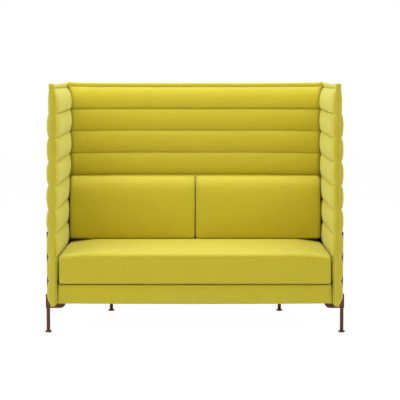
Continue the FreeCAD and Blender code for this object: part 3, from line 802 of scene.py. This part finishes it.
def fillRows(loops, step):
    # between two outlines that are more than a step apart, evenly spaced ones
    parts = []
    for here, there in zip(loops[:-1], loops[1:]):
        count = max(int(np.abs(there - here)[:, 0].max() / step), 1)
        share = np.linspace(0, 1, count + 1)[:-1, None, None]
        parts.append(here + (there - here) * share)
    return np.concatenate([*parts, loops[-1:]])


def closeEnds(loops, shares=(0.97, 0.88, 0.74, 0.58, 0.40, 0.22, 0.08)):
    # each end goes on as rings that shrink towards the line along the middle of its face
    def rings(loop):
        low, high = loop.min(axis=0), loop.max(axis=0)
        long = 1 if high[1] - low[1] > high[2] - low[2] else 2
        short = 3 - long
        half = (high[short] - low[short]) / 2
        spine = loop.copy()
        spine[:, short] = low[short] + half
        spine[:, long] = np.clip(loop[:, long], low[long] + half, high[long] - half)
        return [spine + (loop - spine) * share for share in shares]
    return np.array([*rings(loops[0])[::-1], *loops, *rings(loops[-1])])


def evenOut(amount, rings, passes=6):
    # each point takes the mean of its four grid neighbours' amounts, a few times over
    field = amount.reshape(rings)
    for _ in range(passes):
        before = np.concatenate([field[:1], field[:-1]])
        after = np.concatenate([field[1:], field[-1:]])
        field = (before + after + np.roll(field, 1, axis=1) + np.roll(field, -1, axis=1)) / 4
    return field.ravel()


def endRound(offset, settings):
    # how far the section draws in at this distance from the cushion's end: a quarter circle
    nearness = max(0.0, 1 - offset / settings["endDraw"])
    return settings["endDraw"] * (1 - math.sqrt(1 - nearness ** 2))


def puff(loops, settings):
    # cloth with air pressure, held along its base; each point keeps the outward part of its swelling,
    # up to a cap, evened out over the grid
    points, quads, caps = loftBlock(loops)
    mesh = bpy.data.meshes.new("puff")
    mesh.from_pydata(points.tolist(), [], quads.tolist() + [list(cap) for cap in caps])
    faceOutwards(mesh)
    work = bpy.data.objects.new("puff", mesh)
    link(work)
    start = points.astype(np.float32)
    held = np.nonzero(settings["held"](start))[0]
    group = work.vertex_groups.new(name="held")
    group.add(held.tolist(), 1.0, "REPLACE")
    cloth = work.modifiers.new("cloth", "CLOTH")
    cloth.settings.use_pressure = True
    cloth.settings.uniform_pressure_force = settings["pressure"]
    cloth.settings.effector_weights.gravity = 0.0
    cloth.settings.vertex_group_mass = "held"
    cloth.settings.tension_stiffness = settings["stiffness"]
    cloth.settings.compression_stiffness = settings["stiffness"]
    cloth.settings.bending_stiffness = settings["bending"]
    cloth.settings.quality = 4
    scene = bpy.context.scene
    cloth.point_cache.frame_start = 1
    cloth.point_cache.frame_end = settings["frames"]
    for number in range(1, settings["frames"] + 1):
        scene.frame_set(number)
    graph = bpy.context.evaluated_depsgraph_get()
    grown = bpy.data.meshes.new_from_object(work.evaluated_get(graph))
    shift = readAll(grown.vertices, "co", 3) - start
    scene.frame_set(1)
    normals = readAll(mesh.vertices, "normal", 3)
    swollen = (shift * normals).sum(axis=1)
    amount = settings["cap"] * np.tanh(np.clip(swollen, 0, None) / settings["soft"])
    amount[held] = 0
    amount = evenOut(amount, loops.shape[:2])
    amount[held] = 0
    print("stage: swollen by", round(float(swollen.max()), 4), "m, kept", round(float(amount.max()), 4))
    start = start + normals * amount[:, None]
    faces = [list(polygon.vertices) for polygon in mesh.polygons]
    bpy.data.objects.remove(work)
    return start, faces


def makeCushion(body, points, faces, material):
    # a swollen cushion as a piece of its own, in place of its cover
    name = body + "_upholstery"
    mesh = bpy.data.meshes.new(name)
    mesh.from_pydata(points.tolist(), [], faces)
    mesh.update()
    clothUv(mesh)
    mesh.shade_smooth()
    piece = addPiece(name, mesh, material, body, (body + "_cover",))


seat = dict(
    swell=0.0057, edgeRadius=0.023, edgeRun=0.030, lowerRadius=0.003, rearRadius=0.014, ahead=0.0002,
    lift=0.0036, liftHeight=0.020, liftDepth=0.050, liftFade=0.040, endDrop=0.018, crownRun=0.17,
    endDraw=0.011, endRoom=0.2, baseRoom=0.0008, baseRound=0.6, rearRoom=0.002, heldHeight=0.0055,
    ends=(0.0, 0.15, 0.45, 1.0, 2.0, 3.5, 6.0, 9.0, 12.5), step=0.012, counts=(46, 10, 46, 10),
    pressure=4.0, stiffness=14.0, bending=0.6, frames=20, cap=0.006, soft=0.012, fill=0.8)


def makeSeat(material):
    # a rounded section carried across; towards its two ends it shrinks along a quarter circle, and its
    # top drops by the square of the nearness to the end
    low, high = boxOf("seat_cushion_cover")
    swell = seat["swell"]
    front = low[1] + seat["ahead"]
    rear = high[1]
    bottom = low[2]
    offsets = np.array(seat["ends"]) * seat["endDraw"]
    inset = sideInset(low, high) + swell * seat["endRoom"]
    loops = []
    for sign, order in ((-1, offsets), (1, offsets[::-1])):
        for offset in order:
            roundIn = endRound(offset, seat)
            nearEnd = max(0.0, 1 - offset / seat["crownRun"])   # 1 at the end, 0 past the crown's run
            top = high[2] - swell - seat["endDrop"] * nearEnd ** 2 - roundIn
            near = front + roundIn
            far = rear - roundIn - seat["rearRoom"]
            base = bottom + seat["baseRoom"] + roundIn * seat["baseRound"]
            radius = seat["edgeRadius"] - roundIn
            loop = roundedLoop([(near, base), (far, base), (far, top), (near, top)],
                               [seat["lowerRadius"], seat["lowerRadius"], seat["rearRadius"], radius])
            # the upper front edge is an ellipse, longer in depth than in height
            edge = loop[lastCorner:, 0] - near
            loop[lastCorner:, 0] = near + edge * seat["edgeRun"] / seat["edgeRadius"]
            loop = fillFaces(loop, seat["counts"])
            # the front of the underside stands a few millimetres up from the apron
            under = smoothStep(base + seat["liftHeight"] - loop[:, 1], 0, seat["liftHeight"])
            ahead = smoothStep(near + seat["liftDepth"] - loop[:, 0], 0, seat["liftFade"])
            loop[:, 1] += seat["lift"] * under * ahead
            x = sign * (sideLine(loop[:, 0], inset) - offset)
            loops.append(np.stack([x, loop[:, 0], loop[:, 1]], axis=1))
    loops = closeEnds(fillRows(np.array(loops), seat["step"]))
    held = dict(seat, held=lambda p: p[:, 2] < bottom + seat["heldHeight"])
    points, faces = puff(loops, held)
    makeCushion("seat_cushion", points, faces, material)


backs = dict(
    swell=0.006, belly=0.011, bellyPower=2.4, bellyFrom=0.03, bellyFull=0.10, edgeRadius=0.050,
    edgeFall=0.080, lowerRadius=0.010, rearRadius=0.016, endDraw=0.020, topDepth=0.108, frontRoom=0.004,
    rearRoom=0.001, baseRoom=0.0008, baseRound=0.5, rearRound=0.5, edgeRound=0.7, splitRoom=0.25,
    endRoom=0.4, ends=(0.0, 0.15, 0.45, 1.0, 2.0, 4.0), heldHeight=0.006, heldDepth=0.012,
    soften=0.0012, softenLengths=(0.41, 0.27, 0.19), softenFrom=0.05, softenOver=0.06, step=0.0105,
    counts=(8, 24, 5, 20), pressure=4.0, stiffness=14.0, bending=0.5, frames=20, cap=0.006, soft=0.012,
    fill=0.75)


def makeBackCushions(material):
    # a rounded section carried across the right half, and the same points mirrored for the left half
    low, high = boxOf("right_back_cushion_cover")
    swell = backs["swell"]
    inset = sideInset(low, high) + swell * backs["endRoom"]
    offsets = np.array(backs["ends"]) * backs["endDraw"]
    rear = high[1] - backs["rearRoom"]
    loops = []
    for left, order in ((True, offsets), (False, offsets[::-1])):
        for offset in order:
            roundIn = endRound(offset, backs)
            base = low[2] + backs["baseRoom"] + roundIn * backs["baseRound"]
            top = high[2] - swell - roundIn
            nearLow = low[1] + backs["frontRoom"] + swell + roundIn
            nearHigh = rear - backs["topDepth"] + swell + roundIn
            far = rear - roundIn * backs["rearRound"]
            loop = roundedLoop([(nearLow, base), (far, base), (far, top), (nearHigh, top)],
                               [backs["lowerRadius"], backs["lowerRadius"], backs["rearRadius"],
                                backs["edgeRadius"] - roundIn * backs["edgeRound"]])
            # the upper front edge falls away as an ellipse, and the front face bows out by one less
            # a power of s, for s from -1 at its foot to 1 at its top
            edge = top - loop[lastCorner:, 1]
            loop[lastCorner:, 1] = top - edge * backs["edgeFall"] / backs["edgeRadius"]
            loop = fillFaces(loop, backs["counts"])
            height = 2 * (loop[:, 1] - base) / (top - base) - 1
            ahead = smoothStep(-loop[:, 0], -far + backs["bellyFrom"], -far + backs["bellyFull"])
            loop[:, 0] -= ahead * backs["belly"] * (1 - np.abs(height) ** backs["bellyPower"])
            if left:
                x = np.full(len(loop), low[0] + swell * backs["splitRoom"] + offset)
            else:
                x = sideLine(loop[:, 0], inset) - offset
            loops.append(np.stack([x, loop[:, 0], loop[:, 1]], axis=1))
    loops = closeEnds(fillRows(np.array(loops), backs["step"]))
    held = dict(backs, held=lambda p: (p[:, 2] < low[2] + backs["heldHeight"])
                | (p[:, 1] > high[1] - backs["heldDepth"]))
    points, faces = puff(loops, held)
    for side, sign in (("right", 1.0), ("left", -1.0)):
        shaped = points.copy()
        front = np.clip((high[1] - backs["softenFrom"] - shaped[:, 1]) / backs["softenOver"], 0, 1)
        across = shaped[:, 0] * sign + shaped[:, 2] * 0.7
        shaped[:, 1] -= backs["soften"] * front * ripple(across, 5 + int(sign), backs["softenLengths"])
        shaped[:, 0] *= sign
        turned = faces if sign > 0 else [face[::-1] for face in faces]
        makeCushion(side + "_back_cushion", shaped, turned, material)


apron = dict(
    radius=0.0050, frontRadius=0.0085, crown=0.0012, crownLengths=(0.9, 0.5), back=0.0022, face=0.002,
    each=6, steps=90, sideSteps=50, sagEnd=0.0020, sagMiddle=0.0058, sagHeight=0.050, endReach=0.0025,
    footReach=0.0045, footHeight=0.022, footFade=0.018, fill=0.9)


def makeAprons(material):
    # each is a thin upholstered board: a rounded section carried across, with a slight crown
    frontLow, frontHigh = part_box("front_apron")
    rearLow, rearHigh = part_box("rear_apron")
    rightLow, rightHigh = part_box("right_apron")
    inset = sideInset(frontLow, frontHigh)
    for name, low, high, outward in (("front_apron", frontLow, frontHigh, -1),
                                     ("rear_apron", rearLow, rearHigh, 1)):
        across = np.linspace(-1, 1, apron["steps"])
        upper = [apron["frontRadius"], apron["radius"]]
        low[1] += apron["back"] if outward < 0 else 0.0
        loop = roundedLoop([(low[1], low[2]), (high[1], low[2]), (high[1], high[2]), (low[1], high[2])],
                           [apron["radius"], apron["radius"], *(upper if outward > 0 else upper[::-1])],
                           apron["each"])
        face = (loop[:, 0] < low[1] + apron["face"] if outward < 0
                else loop[:, 0] > high[1] - apron["face"])
        height = (loop[:, 1] - low[2]) / (high[2] - low[2])
        bow = apron["crown"] * (1 - (2 * height - 1) ** 2) * face
        uneven = 0.6 + 0.4 * ripple(across, 3, apron["crownLengths"])
        y = loop[None, :, 0] + outward * bow[None, :] * uneven[:, None]
        # its ends stand out further at the foot, where the side pads round away from them
        foot = smoothStep(low[2] + apron["footHeight"] - loop[:, 1], 0, apron["footFade"])
        width = sideLine(loop[:, 0], inset) + apron["endReach"] + apron["footReach"] * foot
        x = across[:, None] * width[None, :]
        # its lower edge hangs a little in the middle
        hang = apron["sagMiddle"] + (apron["sagEnd"] - apron["sagMiddle"]) * across ** 2
        lower = smoothStep(low[2] + apron["sagHeight"] - loop[:, 1], 0, apron["sagHeight"])
        z = loop[None, :, 1] - hang[:, None] * lower[None, :]
        finishApron(name, np.stack([x, y, z], axis=-1), material)
    for side, sign in (("right", 1.0), ("left", -1.0)):
        steps = np.linspace(rightLow[1], rightHigh[1], apron["sideSteps"])
        thick = frontHigh[1] - frontLow[1]
        loop = roundedLoop([(0, rightLow[2]), (thick, rightLow[2]), (thick, rightHigh[2]),
                            (0, rightHigh[2])], [apron["radius"]] * 4, apron["each"])
        x = sign * (sideLine(steps, inset)[:, None] - loop[None, :, 0])
        y = np.broadcast_to(steps[:, None], x.shape)
        z = np.broadcast_to(loop[None, :, 1], x.shape)
        finishApron(side + "_apron", np.stack([x, y, z], axis=-1), material)


def finishApron(name, loops, material):
    # its UV runs along the apron and round its section, in metres
    points, quads, caps = loftBlock(loops)
    walked = walkAlong(loops[len(loops) // 2])
    along = np.linalg.norm(loops - loops[:1], axis=2)
    uv = np.stack([along, np.broadcast_to(walked[None, :], along.shape)], axis=-1).reshape(-1, 2)
    piece = makePiece(name + "_upholstery", points, quads, material, "frame", (name,), uv=uv, caps=caps)


# Zip teeth along the rear corner tapes

zipTeeth = dict(
    pitch=0.0026, length=0.0016, width=0.0034, depth=0.0009, stagger=0.0005, sunk=0.0002, bare=0.030,
    start=0.010)


def makeZipTeeth(material):
    # one small block repeated up the tape, alternately a little to the left and to the right
    for side in ("left", "right"):
        low, high = boxOf(side + "_zip_tape")
        count = int((high[2] - low[2] - zipTeeth["bare"]) / zipTeeth["pitch"])
        size = np.array([zipTeeth["width"], zipTeeth["depth"], zipTeeth["length"]]) / 2
        corners = np.array([[x, y, z] for x in (-1, 1) for y in (-1, 1) for z in (-1, 1)]) * size
        number = np.arange(count)
        stagger = zipTeeth["stagger"] * (2 * (number % 2) - 1)
        middle = np.stack([np.full(count, (low[0] + high[0]) / 2) + stagger,
                           np.full(count, high[1] - zipTeeth["sunk"]),
                           low[2] + zipTeeth["start"] + number * zipTeeth["pitch"]], axis=1)
        points = (middle[:, None, :] + corners[None, :, :]).reshape(-1, 3)
        block = np.array([(0, 1, 3, 2), (4, 6, 7, 5), (0, 4, 5, 1), (2, 3, 7, 6), (0, 2, 6, 4),
                          (1, 5, 7, 3)])
        quads = (8 * number[:, None, None] + block[None, :, :]).reshape(-1, 4)
        makePiece(side + "_zip_teeth", points, quads, material, "frame", smooth=False)


# Finishes for the nodes that keep their CAD shape

def dressNodes(finishes):
    # each node takes the finish whose list holds the ending of its name
    for name, node in nodes.items():
        material = next(finish for finish, endings in finishes if name.endswith(endings))
        node.data.materials.clear()
        node.data.materials.append(material)


makeCamera()
makeLamps()
makeRoom()
bpy.context.scene.view_settings.view_transform = "Standard"
print("stage: room, camera and lamps")

woolCloth = woolMaterial()
brownCoat = powderCoat()
zincSteel = platedSteel()
frameBeech = beechWood()
panelBoard = pressedBoard()
blackLining = wovenStrip("black lining", strip["liningTone"], strip["liningPitch"])
zipTape = wovenStrip("zip tape", strip["tapeTone"], strip["tapePitch"])
paleFoam = cutFoam()
dressNodes([
    (brownCoat, ("_cradle", "_upright", "_leg", "_foot", "_zip_slider")),
    (zincSteel, ("_leg_insert", "cradle_bolts", "panel_screws")),
    (frameBeech, ("_rail", "corner_blocks")),
    (panelBoard, ("_core",)),
    (blackLining, ("_closing_cloth", "seat_webbing", "deck_cloth", "dust_cover")),
    (zipTape, ("_zip_tape",)),
    (paleFoam, ("_foam",)),
    (woolCloth, ("_band", "_pad", "_apron", "_cover"))])
print("stage: finishes")

panels = {side: Panel(side) for side in ("right", "left", "back")}
for number, panel in enumerate(panels.values()):
    makePad(panel, True, woolCloth, 100 * number + 1)
    makePad(panel, False, woolCloth, 100 * number + 51)
    makeBand(panel, woolCloth, 100 * number + 77)
print("stage: quilted panels")

makeAprons(woolCloth)
makeZipTeeth(brownCoat)
print("stage: aprons and zips")

makeSeat(woolCloth)
makeBackCushions(woolCloth)
print("stage: cushions")
